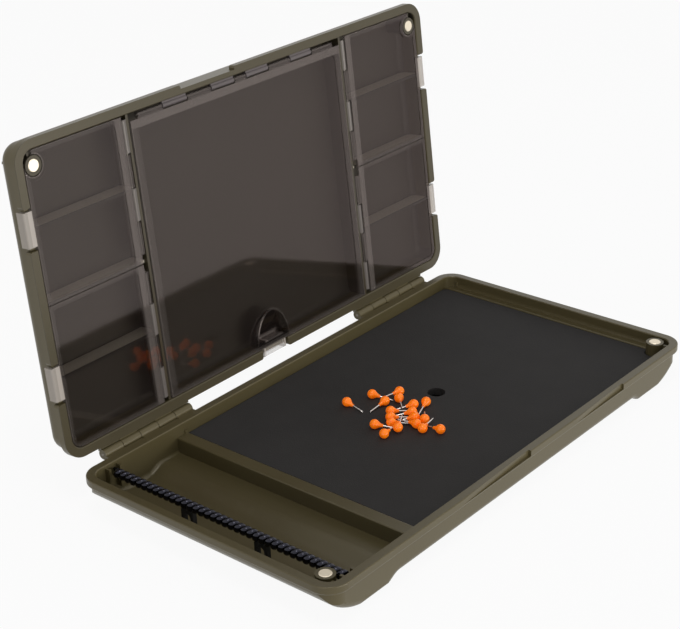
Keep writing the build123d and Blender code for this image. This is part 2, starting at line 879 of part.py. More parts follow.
def scoop_form(margin, floor):
    """The half ellipse of the scoop, cut to its sloping floor, grown by a margin."""
    with BuildPart() as form:
        with BuildSketch(Plane.XY.offset(door_low)):
            with Locations((0, centre_far)):
                Ellipse(scoop_half_width + margin, scoop_height + margin)
        extrude(amount=scoop_depth + 3)
        with BuildSketch(Plane.YZ):
            with BuildLine():
                Polyline(
                    (scoop_back - margin, door_low),
                    (scoop_back - margin, door_low + 1.0 + margin),
                    (scoop_end - scoop_floor_run, floor),
                    (scoop_end + margin, floor),
                    (scoop_end + margin, door_low),
                    close=True,
                )
            make_face()
        extrude(amount=scoop_half_width + margin, both=True, mode=Mode.INTERSECT)
    return form.part


with BuildPart() as closed_centre_door:
    with BuildSketch(Plane.XY.offset(door_low)):
        with Locations((0, (centre_near + centre_far) / 2)):
            Rectangle(2 * (partition_inner - 2 * door_gap), centre_far - centre_near)
    extrude(amount=door_thickness)
    with BuildSketch(Plane.XY.offset(door_low)):
        with Locations((0, (centre_recess_start + centre_recess_end) / 2)):
            RectangleRounded(
                2 * (partition_inner - 2 * door_gap - panel_hinge_border),
                centre_recess_end - centre_recess_start,
                panel_corner,
            )
    extrude(amount=panel_recess, mode=Mode.SUBTRACT)
    moving_knuckles = [(middle, centre_knuckle) for middle in centre_knuckle_places[1::2]]
    for middle, length in [(0.0, middle_knuckle), *moving_knuckles]:
        with BuildSketch(Plane.YZ.offset(middle)):
            with Locations((centre_axis_y, door_axis_z)):
                Circle(door_knuckle_radius)
            with Locations((centre_axis_y, door_axis_z)):
                Rectangle(
                    hinge_panel_gap + 0.5,
                    door_knuckle_radius,
                    align=(Align.MIN, Align.MAX),
                )
        extrude(amount=length / 2 - door_gap, both=True)
    with Locations(Location((0, centre_axis_y, door_axis_z), (0, 90, 0))):
        Cylinder(door_pin_radius + pin_clearance, 2 * partition_inner, mode=Mode.SUBTRACT)
    add(clip(Plane.YZ, wall_width / 2, centre_far))
    add(scoop_form(scoop_wall, door_low + scoop_depth + scoop_wall))
    add(scoop_form(0.0, door_low + scoop_depth), mode=Mode.SUBTRACT)

with BuildPart() as door_centre:
    with Locations(swing):
        add(closed_centre_door.part)
door_centre.part.label = "door_centre"
export_step(door_centre.part, "parts/door_centre.step")

# Foam board

board_left = divider_right + board_clearance
board_right = end_ledge_inner - board_clearance
board_half = room_width / 2 - board_clearance

with BuildPart() as rig_board:
    with BuildSketch(Plane.XY.offset(board_top - board_thickness)) as board_plan:
        with Locations(((board_left + board_right) / 2, 0)):
            Rectangle(board_right - board_left, 2 * board_half)
        fillet(board_plan.vertices().sort_by(Axis.X)[-2:].sort_by(Axis.Y)[-1], 4.0)
        with Locations((post_x, post_y)):
            Circle(post_radius + 2 * board_clearance, mode=Mode.SUBTRACT)
            Rectangle(20, 20, align=(Align.MIN, Align.MAX), mode=Mode.SUBTRACT)
        with Locations((finger_hole_x, finger_hole_y)):
            Circle(finger_hole_radius, mode=Mode.SUBTRACT)
    extrude(amount=board_thickness)
    chamfer(rig_board.faces().sort_by(Axis.X)[-1].edges().sort_by(Axis.Z)[0], 1.5)
rig_board.part.label = "rig_board"
export_step(rig_board.part, "parts/rig_board.step")

# Coil spring of the narrow compartment

spring_start_angle = -pi / 2
coil_reach = 2 * pi * spring_coil_radius


def helix_point(turn):
    """Centre of the wire after so many turns."""
    angle = 2 * pi * turn + spring_start_angle
    return Vector(
        spring_x + spring_coil_radius * cos(angle),
        turn * spring_pitch - spring_half,
        spring_z + spring_coil_radius * sin(angle),
    )


def helix_heading(turn):
    """Direction of the wire after so many turns."""
    angle = 2 * pi * turn + spring_start_angle
    return Vector(-coil_reach * sin(angle), spring_pitch, coil_reach * cos(angle)).normalized()


def arc_middle(start, corner, end):
    """Middle of the arc that is tangent to both sides of a corner at their ends."""
    half_chord = (end - start).length / 2
    side = (corner - start).length
    middle = (start + end) * 0.5
    rise = (corner - middle).length
    lift = half_chord * (side - half_chord) / rise
    return middle + (corner - middle).normalized() * lift


def biarc(start, end, start_heading, end_heading):
    """Points of the two arcs of equal reach that join two points with their headings."""
    chord = end - start
    headings = start_heading + end_heading
    a = 2 * (1 - start_heading.dot(end_heading))
    b = 2 * chord.dot(headings)
    reach = (sqrt(b * b + 4 * a * chord.dot(chord)) - b) / (2 * a)
    first = start + start_heading * reach
    second = end - end_heading * reach
    joint = (first + second) * 0.5
    return arc_middle(start, first, joint), joint, arc_middle(joint, second, end)


# Each end bends out of the coil and runs straight into the tray's wall
along = Vector(0, 1, 0)
end_turn = acos(helix_heading(0).dot(along))
end_corner_reach = spring_end_bend * tan(end_turn / 2)
first_point = helix_point(0)
last_point = helix_point(spring_turns)
start_corner = first_point - helix_heading(0) * end_corner_reach
start_bend = start_corner - along * end_corner_reach
finish_corner = last_point + helix_heading(spring_turns) * end_corner_reach
finish_bend = finish_corner + along * end_corner_reach
start_wall = Vector(start_bend.X, -room_width / 2, start_bend.Z)
finish_wall = Vector(finish_bend.X, room_width / 2, finish_bend.Z)

with BuildLine() as spring_path:
    Line(start_wall, start_bend)
    ThreePointArc(start_bend, arc_middle(start_bend, start_corner, first_point), first_point)
    for half_turn in range(2 * spring_turns):
        begin, finish = helix_point(half_turn / 2), helix_point((half_turn + 1) / 2)
        first_middle, joint, second_middle = biarc(
            begin, finish, helix_heading(half_turn / 2), helix_heading((half_turn + 1) / 2)
        )
        ThreePointArc(begin, first_middle, joint)
        ThreePointArc(joint, second_middle, finish)
    ThreePointArc(last_point, arc_middle(last_point, finish_corner, finish_bend), finish_bend)
    Line(finish_bend, finish_wall)

with BuildPart() as hook_spring:
    with BuildSketch(Plane(origin=start_wall, z_dir=along)):
        Circle(spring_wire / 2)
    sweep(path=spring_path.wire())
hook_spring.part.label = "hook_spring"
export_step(hook_spring.part, "parts/hook_spring.step")

samples_in_turn = 16
spring_wire_path = spring_path.wire()
sample_count = int(spring_wire_path.length / (coil_reach / samples_in_turn))
samples = [spring_wire_path.position_at(k / sample_count) for k in range(sample_count + 1)]
least_gap = min(
    (samples[i] - samples[j]).length - spring_wire
    for i in range(sample_count + 1)
    for j in range(i + samples_in_turn // 2, min(i + 3 * samples_in_turn, sample_count + 1))
)
print("least gap of the spring to itself in mm:", round(least_gap, 2))

# Saddles that carry the spring, each standing on its pad


def spring_support(side):
    """An arch with two legs and a shallow groove for the spring."""
    groove = spring_outer_radius + support_clearance
    top = spring_z - groove + 0.5
    with BuildPart() as saddle:
        with BuildSketch(Plane.YZ.offset(spring_x)) as side_view:
            with Locations((side * support_y, support_pad_top)):
                Rectangle(support_width, top - support_pad_top, align=(Align.CENTER, Align.MIN))
            fillet(side_view.vertices().group_by(Axis.Y)[-1], 0.8)
            with Locations((side * support_y, support_pad_top)):
                Rectangle(
                    support_width - 2 * support_leg,
                    5.0,
                    align=(Align.CENTER, Align.MIN),
                    mode=Mode.SUBTRACT,
                )
            with Locations((side * support_y, support_pad_top + 5.0)):
                Circle(support_width / 2 - support_leg, mode=Mode.SUBTRACT)
        extrude(amount=support_thickness / 2, both=True)
        with Locations(Location((spring_x, side * support_y, spring_z), (90, 0, 0))):
            Cylinder(groove, support_width + 2, mode=Mode.SUBTRACT)
    return saddle.part


with BuildPart() as spring_support_front:
    add(spring_support(-1))
spring_support_front.part.label = "spring_support_front"
export_step(spring_support_front.part, "parts/spring_support_front.step")

with BuildPart() as spring_support_rear:
    add(spring_support(1))
spring_support_rear.part.label = "spring_support_rear"
export_step(spring_support_rear.part, "parts/spring_support_rear.step")

# Loose rig pins on the board: a pear head on a steel shaft with a point

with BuildPart() as head_form:
    with BuildSketch(Plane.XZ):
        with BuildLine() as head_line:
            side_arc = CenterArc((0, 0), head_radius, -90, 125)
            Bezier(
                side_arc @ 1,
                (side_arc @ 1) + (side_arc % 1) * 1.6,
                (neck_radius, neck_reach - 1.4),
                (neck_radius, neck_reach),
            )
            Line((neck_radius, neck_reach), (0, neck_reach))
            Line((0, neck_reach), (0, -head_radius))
        make_face()
    revolve(axis=Axis.Z)

with BuildPart() as shaft_form:
    with BuildSketch(Plane.XZ):
        with BuildLine():
            Polyline(
                (0, neck_reach),
                (shaft_radius, neck_reach),
                (shaft_radius, pin_reach - point_length),
                (point_radius, pin_reach),
                (0, pin_reach),
                close=True,
            )
        make_face()
    revolve(axis=Axis.Z)


def pin_place(x, y, head_height, heading, tip_height):
    """Where one pin's head is, and which way its shaft runs down to the point."""
    drop = (head_height - tip_height) / pin_reach
    level = sqrt(1 - drop * drop)
    way = (level * cos(radians(heading)), level * sin(radians(heading)), -drop)
    return Plane(origin=(x, y, board_top + head_height + pin_clearance), z_dir=way).location


pin_places = [pin_place(*rig_pin) for rig_pin in rig_pins]

with BuildPart() as pin_heads:
    with Locations(*pin_places):
        add(head_form.part)
pin_heads.part.label = "pin_heads"
export_step(pin_heads.part, "parts/pin_heads.step")

with BuildPart() as pin_shafts:
    with Locations(*pin_places):
        add(shaft_form.part)
pin_shafts.part.label = "pin_shafts"
export_step(pin_shafts.part, "parts/pin_shafts.step")
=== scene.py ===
# %% [markdown]
# # A rig box, dressed in Blender
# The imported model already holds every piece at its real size: two olive trays, smoked doors, a foam
# board, a spring and loose pins. This lesson gives those pieces the finishes of the real box, adds the
# few forms that only the eye needs, and sets up the studio.

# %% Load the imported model
import json
from math import cos, radians, sin

import bmesh
import bpy
import numpy as np
from mathutils import Matrix, Vector


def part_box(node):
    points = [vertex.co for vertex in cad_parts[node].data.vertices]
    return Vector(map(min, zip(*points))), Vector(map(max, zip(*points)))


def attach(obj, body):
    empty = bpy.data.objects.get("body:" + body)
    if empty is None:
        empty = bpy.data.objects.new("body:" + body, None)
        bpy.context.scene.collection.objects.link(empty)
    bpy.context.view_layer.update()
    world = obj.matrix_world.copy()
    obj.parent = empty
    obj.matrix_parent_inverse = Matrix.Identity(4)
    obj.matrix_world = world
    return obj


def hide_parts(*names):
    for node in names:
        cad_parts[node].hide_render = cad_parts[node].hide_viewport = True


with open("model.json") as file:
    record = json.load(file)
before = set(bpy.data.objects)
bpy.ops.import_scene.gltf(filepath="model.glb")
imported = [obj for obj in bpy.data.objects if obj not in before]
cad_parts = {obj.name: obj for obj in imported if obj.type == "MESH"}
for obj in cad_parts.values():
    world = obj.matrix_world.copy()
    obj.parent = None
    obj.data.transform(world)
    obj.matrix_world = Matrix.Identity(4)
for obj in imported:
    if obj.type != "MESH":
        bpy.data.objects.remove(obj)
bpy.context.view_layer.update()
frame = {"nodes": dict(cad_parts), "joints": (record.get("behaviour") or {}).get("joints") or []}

nodes = frame["nodes"]
mm = 0.001

# %% [markdown]
# A photograph can be matched when its camera is known. This one was solved from eight corners of the base
# and the lid: where the lens stood, where it looked, its focal length in pixels, and the pixel that its
# axis meets. The lens shift moves that pixel off the middle of the picture.

# %% Camera
photo_width, photo_height = 680, 629
focal_length_px = 1653.5
camera_place = Vector((-0.6852, -0.5363, 0.4952))
azimuth, elevation, roll = radians(-48.30), radians(24.37), radians(-2.28)
axis_column, axis_row = 302.5, 288.1
sensor_width_mm = 36.0
nearest_seen = 10 * mm


def camera_turn(azimuth, elevation, roll):
    """Rotation whose columns are the picture's right, the picture's up and the way back to the lens."""
    back = Vector((sin(azimuth) * cos(elevation), -cos(azimuth) * cos(elevation), sin(elevation)))
    level_right = (-back).cross(Vector((0, 0, 1))).normalized()
    level_up = level_right.cross(-back)
    right = cos(roll) * level_right + sin(roll) * level_up
    up = cos(roll) * level_up - sin(roll) * level_right
    return Matrix((right, up, back)).transposed()


camera_data = bpy.data.cameras.new("studio_camera")
camera_data.sensor_width = sensor_width_mm
camera_data.lens = focal_length_px * sensor_width_mm / photo_width
camera_data.shift_x = (photo_width / 2 - axis_column) / photo_width
camera_data.shift_y = (axis_row - photo_height / 2) / photo_width
camera_data.clip_start = nearest_seen
camera = bpy.data.objects.new("studio_camera", camera_data)
camera.matrix_world = Matrix.Translation(camera_place) @ camera_turn(azimuth, elevation, roll).to_4x4()
bpy.context.scene.collection.objects.link(camera)
bpy.context.scene.camera = camera
print("lens in mm:", round(camera_data.lens, 2))

# %% [markdown]
# Every material below is a small tree of nodes. One helper adds a node, sets its properties, fills its
# sockets and links them, so that a material reads from top to bottom. Colours are written as sRGB hex
# values. A Mix node of colours keeps them in its sockets 6 and 7, and gives the result in its output 2.

# %% Material helpers


def linear(hex_colour):
    """The linear RGBA of an sRGB hex colour."""
    srgb = np.array([int(hex_colour[i:i + 2], 16) for i in (0, 2, 4)]) / 255
    value = np.where(srgb <= 0.04045, srgb / 12.92, ((srgb + 0.055) / 1.055) ** 2.4)
    return (*value.tolist(), 1.0)


def add(tree, kind, sockets=None, **settings):
    """Adds one node: settings are its properties.

    A socket takes a value, another node's output, or a whole node, which stands for its first output.
    """
    new = tree.nodes.new("ShaderNode" + kind)
    for name, value in settings.items():
        setattr(new, name, value)
    for key, value in (sockets or {}).items():
        if isinstance(value, bpy.types.Node):
            value = value.outputs[0]
        if isinstance(value, bpy.types.NodeSocket):
            tree.links.new(value, new.inputs[key])
        else:
            new.inputs[key].default_value = value
    return new


def new_material(name):
    """An empty node material, its tree, and the place on the piece that its patterns read."""
    material = bpy.data.materials.new(name)
    material.use_nodes = True
    tree = material.node_tree
    tree.nodes.clear()
    return material, tree, add(tree, "TexCoord").outputs["Object"]


print("middle grey in linear light:", round(linear("808080")[0], 3))

# %% [markdown]
# Some finishes change across one moulding, as at a door's thicker border. Such zones are straight bands
# when the lid is drawn shut, but the lid is packed open, so its places are first turned back about the
# hinge. A mask is then 1 inside a band and 0 outside, and masks are joined by the larger or the smaller
# of two.

# %% Places and masks
hinge = next(joint for joint in frame["joints"] if joint["name"] == "lid_hinge")
hinge_place = tuple(hinge["pos_m"])
open_angle = -radians(hinge["range_deg"][0])
mask_softness = 0.15 * mm


def closed_place(tree, place):
    """X, Y and Z of a point as it lies with the lid shut, X and Y counted from the middle of the case."""
    from_hinge = add(tree, "VectorMath", {0: place, 1: hinge_place}, operation="SUBTRACT")
    turned = add(
        tree,
        "VectorRotate",
        {"Vector": from_hinge, "Angle": open_angle},
        rotation_type="X_AXIS",
    )
    shut = add(tree, "VectorMath", {0: turned, 1: hinge_place}, operation="ADD")
    return add(tree, "SeparateXYZ", {0: shut}).outputs


def band(tree, value, start, end, soft=mask_softness):
    """1 where a value lies from start to end and 0 outside: its distance from the middle is compared."""
    middle, half = (start + end) / 2, (end - start) / 2
    off = add(tree, "Math", {0: value, 1: middle}, operation="SUBTRACT")
    distance = add(tree, "Math", {0: off}, operation="ABSOLUTE")
    edges = {"From Min": half + soft, "From Max": half - soft}
    return add(tree, "MapRange", {"Value": distance, **edges})


def join(tree, operation, *masks):
    """Several masks made one: MAXIMUM is any of them, MINIMUM is all of them."""
    joined = masks[0]
    for mask in masks[1:]:
        joined = add(tree, "Math", {0: joined, 1: mask}, operation=operation)
    return joined


print("hinge at:", hinge_place, "opened by:", round(open_angle, 3))

# %% [markdown]
# The two trays are moulded in one olive plastic, most likely ABS. The mould was etched, which leaves a
# fine satin grain: it breaks up the highlight but keeps the rim readable. The photo shows no single
# grain: it is too fine, so it is drawn half a millimetre wide, about one pixel. Slow changes of tone come
# from the flow of the plastic.

# %% Olive plastic
flow_size = 60 * mm
grain_size, grain_depth = 0.5 * mm, 0.03 * mm
satin_low, satin_high = 0.30, 0.38
satin_sheen = "f6efe2"
olive_tones = ("4b432b", "554d33")


def grained(tree, place):
    """A bump of rounded grains, as an etched mould leaves them."""
    grains = add(tree, "TexNoise", {"Vector": place, "Scale": 1 / grain_size, "Detail": 2.0})
    return add(tree, "Bump", {"Height": grains, "Strength": 0.5, "Distance": grain_depth})


def etched_olive_plastic(name, tones=olive_tones, zones=()):
    """Injection-moulded ABS from an etched mould: satin, slightly uneven, olive drab.

    Each zone is a mask, the tones that the plastic has inside it, and how much rougher it is there.
    """
    material, tree, place = new_material(name)
    flow = add(tree, "TexNoise", {"Vector": place, "Scale": 1 / flow_size, "Detail": 3.0})
    dark, light = map(linear, tones)
    tone = add(tree, "Mix", {0: flow, 6: dark, 7: light}, data_type="RGBA").outputs[2]
    gloss = add(tree, "MapRange", {"Value": flow, "To Min": satin_low, "To Max": satin_high})
    for mask, zone_tones, rougher in zones:
        dark, light = map(linear, zone_tones)
        zone_tone = add(tree, "Mix", {0: flow, 6: dark, 7: light}, data_type="RGBA").outputs[2]
        inside = mask(tree, place)
        tone = add(tree, "Mix", {0: inside, 6: tone, 7: zone_tone}, data_type="RGBA").outputs[2]
        gloss = add(tree, "Math", {0: inside, 1: rougher, 2: gloss}, operation="MULTIPLY_ADD")
    shader = add(
        tree,
        "BsdfPrincipled",
        {
            "Base Color": tone,
            "Roughness": gloss,
            "IOR": 1.5,
            "Specular Tint": linear(satin_sheen),
            "Normal": grained(tree, place),
        },
    )
    add(tree, "OutputMaterial", {"Surface": shader})
    return material


olive = etched_olive_plastic("etched_olive_abs")
print(olive.name, "nodes:", len(olive.node_tree.nodes))

# %% [markdown]
# The lid is of the same plastic. In the photo its rim face reads a little darker than its walls, the
# floors of its compartments read dark and dull behind the doors, and the knuckles that the centre door
# hangs on read pale. These are zones: masks in the shut lid's places, with tones fitted to the photo.
# The darker rim face and the dark floors are painted shade, and the pale knuckles are painted light:
# they follow what is seen, and make up for light that this studio doesn't give.

# %% Zones of the lid
mouth_top = 24.5 * mm
wall_outside = 94.0 * mm
room_half_length, room_half_width, room_top = 169.2 * mm, 87.2 * mm, 40.6 * mm
knuckle_row = (-87.25 * mm, -82.7 * mm)
knuckle_row_half, knuckle_row_top = 90.6 * mm, 28.4 * mm


def lid_mouth_painted_shade(tree, place):
    """The lid's rim face, painted with shade a little darker than the walls."""
    x, y, z = closed_place(tree, place)
    before_hinge = band(tree, y, -2 * wall_outside, wall_outside)
    return join(tree, "MINIMUM", band(tree, z, 0, mouth_top), before_hinge)


def lid_room_painted_shade(tree, place):
    """The floors of the compartments, behind the doors, painted dark as shade."""
    x, y, z = closed_place(tree, place)
    across = band(tree, x, -room_half_length, room_half_length)
    along = band(tree, y, -room_half_width, room_half_width)
    return join(tree, "MINIMUM", across, along, band(tree, z, mouth_top, room_top))


def fixed_knuckles_painted_light(tree, place):
    """The lid's knuckles along the top of the centre door, painted pale as light."""
    x, y, z = closed_place(tree, place)
    across = band(tree, x, -knuckle_row_half, knuckle_row_half)
    near_mouth = band(tree, z, 0, knuckle_row_top)
    return join(tree, "MINIMUM", across, band(tree, y, *knuckle_row), near_mouth)


# The rim face and the compartments' floors carry painted shade; the knuckles carry painted light.
lid_olive = etched_olive_plastic(
    "etched_olive_abs_lid",
    zones=[
        (lid_mouth_painted_shade, ("3b3522", "433c29"), 0.04),
        (lid_room_painted_shade, ("332e24", "3a352b"), 0.2),
        (fixed_knuckles_painted_light, ("564f50", "5e5758"), -0.3),
    ],
)
print(lid_olive.name, "nodes:", len(lid_olive.node_tree.nodes))

# %% [markdown]
# The partitions carry the side doors' knuckles, and the short dividers part the compartments. Through the
# smoked plastic the photo still shows the dividers as pale lines beside dark ones, so their sides are
# painted paler than the lid, as light, and their edges darker, as shade. These tones are fitted to the
# photo too. The partitions are painted dark, as shade, with pale knuckles painted as light.

# %% Partitions and dividers
partition_face = 93.55 * mm
divider_edge = 27.6 * mm


def partition_knuckles_painted_light(tree, place):
    """A partition's knuckles, which stand out towards the lid's end, beyond its face on either side,
    painted pale as light.
    """
    x, y, z = closed_place(tree, place)
    out = add(tree, "Math", {0: x}, operation="ABSOLUTE")
    return band(tree, out, partition_face, 2 * partition_face)


def divider_edges_painted_shade(tree, place):
    """The thin edges of the dividers behind the doors, painted dark as shade."""
    x, y, z = closed_place(tree, place)
    return band(tree, z, 0, divider_edge)


# Painted shade: the partitions' dark tone and the dividers' dark edges. Painted light: the pale knuckles
# and the dividers' pale sides.
partition_olive_painted_shade_and_light = etched_olive_plastic(
    "etched_olive_abs_partition",
    tones=("322c1e", "393223"),
    zones=[(partition_knuckles_painted_light, ("5d5754", "66605c"), 0.0)],
)
divider_olive_painted_light_and_shade = etched_olive_plastic(
    "etched_olive_abs_divider",
    tones=("c0b6a4", "c8bfad"),
    zones=[(divider_edges_painted_shade, ("1c1a14", "211e17"), 0.0)],
)
print(partition_olive_painted_shade_and_light.name, divider_olive_painted_light_and_shade.name)

# %% [markdown]
# The board is a sheet of closed-cell foam. Cut cells scatter light, so it is matte and nearly black, with
# a faint speckle. A Voronoi pattern of the cells' size gives both the speckle and the tiny pits, and slow
# patches of noise keep the wide face from looking flat.

# %% Foam
foam_cell = 0.9 * mm
foam_patch = 20 * mm
foam_pit_depth = 0.12 * mm
foam_dark, foam_light = "1f1e1d", "2b2928"


def closed_cell_foam():
    """Charcoal EVA foam cut from a sheet: matte, with pinprick cells and a soft sheen."""
    material, tree, place = new_material("closed_cell_eva_foam")
    cells = add(tree, "TexVoronoi", {"Vector": place, "Scale": 1 / foam_cell})
    patches = add(tree, "TexNoise", {"Vector": place, "Scale": 1 / foam_patch, "Detail": 4.0})
    speckle = add(tree, "Math", {0: cells, 1: 0.35, 2: patches}, operation="MULTIPLY_ADD")
    dark, light = linear(foam_dark), linear(foam_light)
    tone = add(tree, "Mix", {0: speckle, 6: dark, 7: light}, data_type="RGBA").outputs[2]
    pits = add(tree, "Bump", {"Height": cells, "Strength": 0.5, "Distance": foam_pit_depth})
    shader = add(
        tree,
        "BsdfPrincipled",
        {"Base Color": tone, "Roughness": 0.85, "IOR": 1.4, "Normal": pits},
    )
    add(tree, "OutputMaterial", {"Surface": shader})
    return material


foam = closed_cell_foam()
print(foam.name, "nodes:", len(foam.node_tree.nodes))

# %% [markdown]
# A side door is one moulding: a hinge strip along the partition, a thin panel with a thicker border,
# sharp edges, a round corner where a magnet's post stands, and a clip that passes out through the wall.
# The light along the hinge strip, along the edges and round the post's corner is painted highlight. Both
# ends of the lid have the same doors, so the masks count X outwards from the middle.

# %% Zones of a side door
# The strip, the edges and the post's ring are places of painted highlights.
side_strip = (97.6 * mm, 102.4 * mm)
side_panel_across = (102.4 * mm, 166.3 * mm)
side_panel_along = (2.9 * mm, 84.3 * mm)
side_meeting_edge = (0.0, 0.8 * mm)
side_far_edge = (86.4 * mm, 87.0 * mm)
side_clip_edge = (168.3 * mm, 169.0 * mm)
side_clip = (169.0 * mm, 200 * mm)
side_thick_clip = (168.0 * mm, 172.0 * mm)
post_x, post_y = 162.5 * mm, -78.3 * mm
post_ring = (6.0 * mm, 6.9 * mm)


def ring(tree, x, y, middle_x, middle_y, stretch, start, end):
    """A mask round a place: 1 where the radius lies from start to end.

    Y is shrunk by the stretch first, so that a ring becomes an ellipse that is longer along Y.
    """
    across = add(tree, "Math", {0: x, 1: middle_x}, operation="SUBTRACT")
    off_y = add(tree, "Math", {0: y, 1: middle_y}, operation="SUBTRACT")
    along = add(tree, "Math", {0: off_y, 1: 1 / stretch}, operation="MULTIPLY")
    flat = add(tree, "CombineXYZ", {0: across, 1: along})
    radius = add(tree, "VectorMath", {0: flat}, operation="LENGTH").outputs["Value"]
    return band(tree, radius, start, end)


def side_door_zones(tree, place):
    """Masks of a side door: hinge strip, border, edges, clip, where the clip is thick, and no scoop."""
    x, y, z = closed_place(tree, place)
    out = add(tree, "Math", {0: x}, operation="ABSOLUTE")
    along = add(tree, "Math", {0: y}, operation="ABSOLUTE")
    panel = join(
        tree,
        "MINIMUM",
        band(tree, out, *side_panel_across),
        band(tree, along, *side_panel_along),
    )
    border = add(tree, "Math", {0: 1.0, 1: panel}, operation="SUBTRACT")
    # The edges' light lines, with the ring round the post, are painted highlights.
    edge = join(
        tree,
        "MAXIMUM",
        band(tree, along, *side_meeting_edge),
        band(tree, along, *side_far_edge),
        band(tree, out, *side_clip_edge),
        ring(tree, out, y, post_x, post_y, 1.0, *post_ring),
    )
    # The hinge strip's pale band is a painted highlight.
    strip, clip = band(tree, out, *side_strip), band(tree, out, *side_clip)
    return strip, border, edge, clip, band(tree, out, *side_thick_clip), None


print("side door's panel in mm:", round((side_panel_across[1] - side_panel_across[0]) / mm, 1), "wide")

# %% [markdown]
# The centre door has the same zones, turned: its hinge strip runs along the top of the open lid. Its free
# edge has a scoop for a thumb, half an ellipse that dips into the room. In the photo the scoop is nearly
# black, with a bright line on its left shoulder, a pale sill near the free edge and a spark at the sill's
# end. All four are zones drawn by place and fitted to the photo, because the modelled form alone gives
# less of them: the black is painted shade, and the line, the sill and the spark are painted highlights.

# %% Zones of the centre door
# The strip, the edges and the scoop's lines are places of painted highlights.
centre_strip = (-82.6 * mm, -77.6 * mm)
centre_side_border = (85.8 * mm, 91.0 * mm)
centre_free_border = (84.3 * mm, 86.8 * mm)
centre_hinge_border = (-87.4 * mm, -82.6 * mm)
centre_side_edge = (90.1 * mm, 91.0 * mm)
centre_free_edge = (86.2 * mm, 86.9 * mm)
centre_clip = (86.95 * mm, 120 * mm)
centre_thick_clip = (8.7 * mm, 20.0 * mm)
# Inside the scoop is painted shade; its rim, shoulder, sill and spark are painted highlights.
scoop_middle, scoop_stretch = 86.8 * mm, 22 / 14
scoop_reach, scoop_rim_reach = 14.0 * mm, 15.0 * mm
shoulder_x, shoulder_y = (-15.0 * mm, -5.0 * mm), (68.0 * mm, 77.0 * mm)
sill_x, sill_y = (-7.5 * mm, 7.5 * mm), (80.4 * mm, 83.2 * mm)
spark_x, spark_y = (-7.8 * mm, -5.6 * mm), (81.0 * mm, 83.2 * mm)
rim_share, shoulder_share, spark_share = 0.3, 3.0, 2.0


def scoop_painted_highlights(tree, x, y):
    """The painted highlights of the scoop: its rim, the rim's bright shoulder, the sill and its spark."""
    rim = ring(tree, x, y, 0.0, scoop_middle, scoop_stretch, scoop_reach, scoop_rim_reach)
    shoulder_box = (band(tree, x, *shoulder_x, 3.0 * mm), band(tree, y, *shoulder_y, 3.0 * mm))
    shoulder = join(tree, "MINIMUM", rim, *shoulder_box)
    sill = join(tree, "MINIMUM", band(tree, x, *sill_x, 1.5 * mm), band(tree, y, *sill_y, 0.8 * mm))
    spark = join(tree, "MINIMUM", band(tree, x, *spark_x, 0.7 * mm), band(tree, y, *spark_y, 0.7 * mm))
    return join(
        tree,
        "MAXIMUM",
        add(tree, "Math", {0: rim, 1: rim_share}, operation="MULTIPLY"),
        add(tree, "Math", {0: shoulder, 1: shoulder_share}, operation="MULTIPLY"),
        sill,
        add(tree, "Math", {0: spark, 1: spark_share}, operation="MULTIPLY"),
    )


def centre_door_zones(tree, place):
    """Masks of the centre door: hinge strip, border, edges, clip, where the clip is thick, and scoop."""
    x, y, z = closed_place(tree, place)
    out = add(tree, "Math", {0: x}, operation="ABSOLUTE")
    border = join(
        tree,
        "MAXIMUM",
        band(tree, out, *centre_side_border),
        band(tree, y, *centre_free_border),
        band(tree, y, *centre_hinge_border),
    )
    # The edges' light lines and the scoop's are painted highlights.
    edge = join(
        tree,
        "MAXIMUM",
        band(tree, out, *centre_side_edge),
        band(tree, y, *centre_free_edge),
        scoop_painted_highlights(tree, x, y),
    )
    strip, clip = band(tree, y, *centre_strip), band(tree, y, *centre_clip)
    # Inside the scoop the door is tinted darker: painted shade.
    scoop = ring(tree, x, y, 0.0, scoop_middle, scoop_stretch, 0.0, scoop_reach)
    return strip, border, edge, clip, band(tree, out, *centre_thick_clip), scoop


print("scoop in mm:", round(2 * scoop_reach / mm, 1), "by", round(scoop_reach * scoop_stretch / mm, 1))

# %% [markdown]
# The doors are clear plastic, most likely polystyrene, with a smoke-brown dye. What the eye gets is a
# polished reflection over a dim view of the compartments, so the shader is a film: a Fresnel share of
# gloss over a tinted see-through surface. The sheet's far face gets no gloss: a straight ray inside the
# sheet would meet it as if it were trapped. Thick borders scatter more light. The pale bands of the
# hinge strips and the moulded edges are painted highlights, drawn as haze, and the clips, outside the
# wall, are the palest: they show the paper through them, and their pale beige is painted light. In the
# photo the sheets shine a little less towards the right. The gloss's tint follows that, fitted to the
# photo, and stands in for uneven light in the room: a painted reflection.

# %% Smoked doors
# The second tint darkens the scoop's inside: painted shade.
smoke_tint, scoop_painted_shade_tint = "e1e0e0", "8c8886"
smoke_tone, haze_tone = "776762", "746c67"
# The gloss's tint from left to right is a painted reflection, dimmer on the right.
painted_reflection_left, painted_reflection_right = "f6e6e1", "dac8c4"
# The clips show the paper through them, and their pale beige is painted light.
clip_tone = "b9b0a6"
painted_reflection_end = 170 * mm
wave_size, wave_depth = 35 * mm, 0.2 * mm
# The strip's and the edges' haze shares are painted highlights; the border's is real scatter.
strip_painted_highlight_haze, border_haze, edge_painted_highlight_haze = 0.42, 0.12, 0.4
least_cloud, most_cloud = 0.01, 0.03


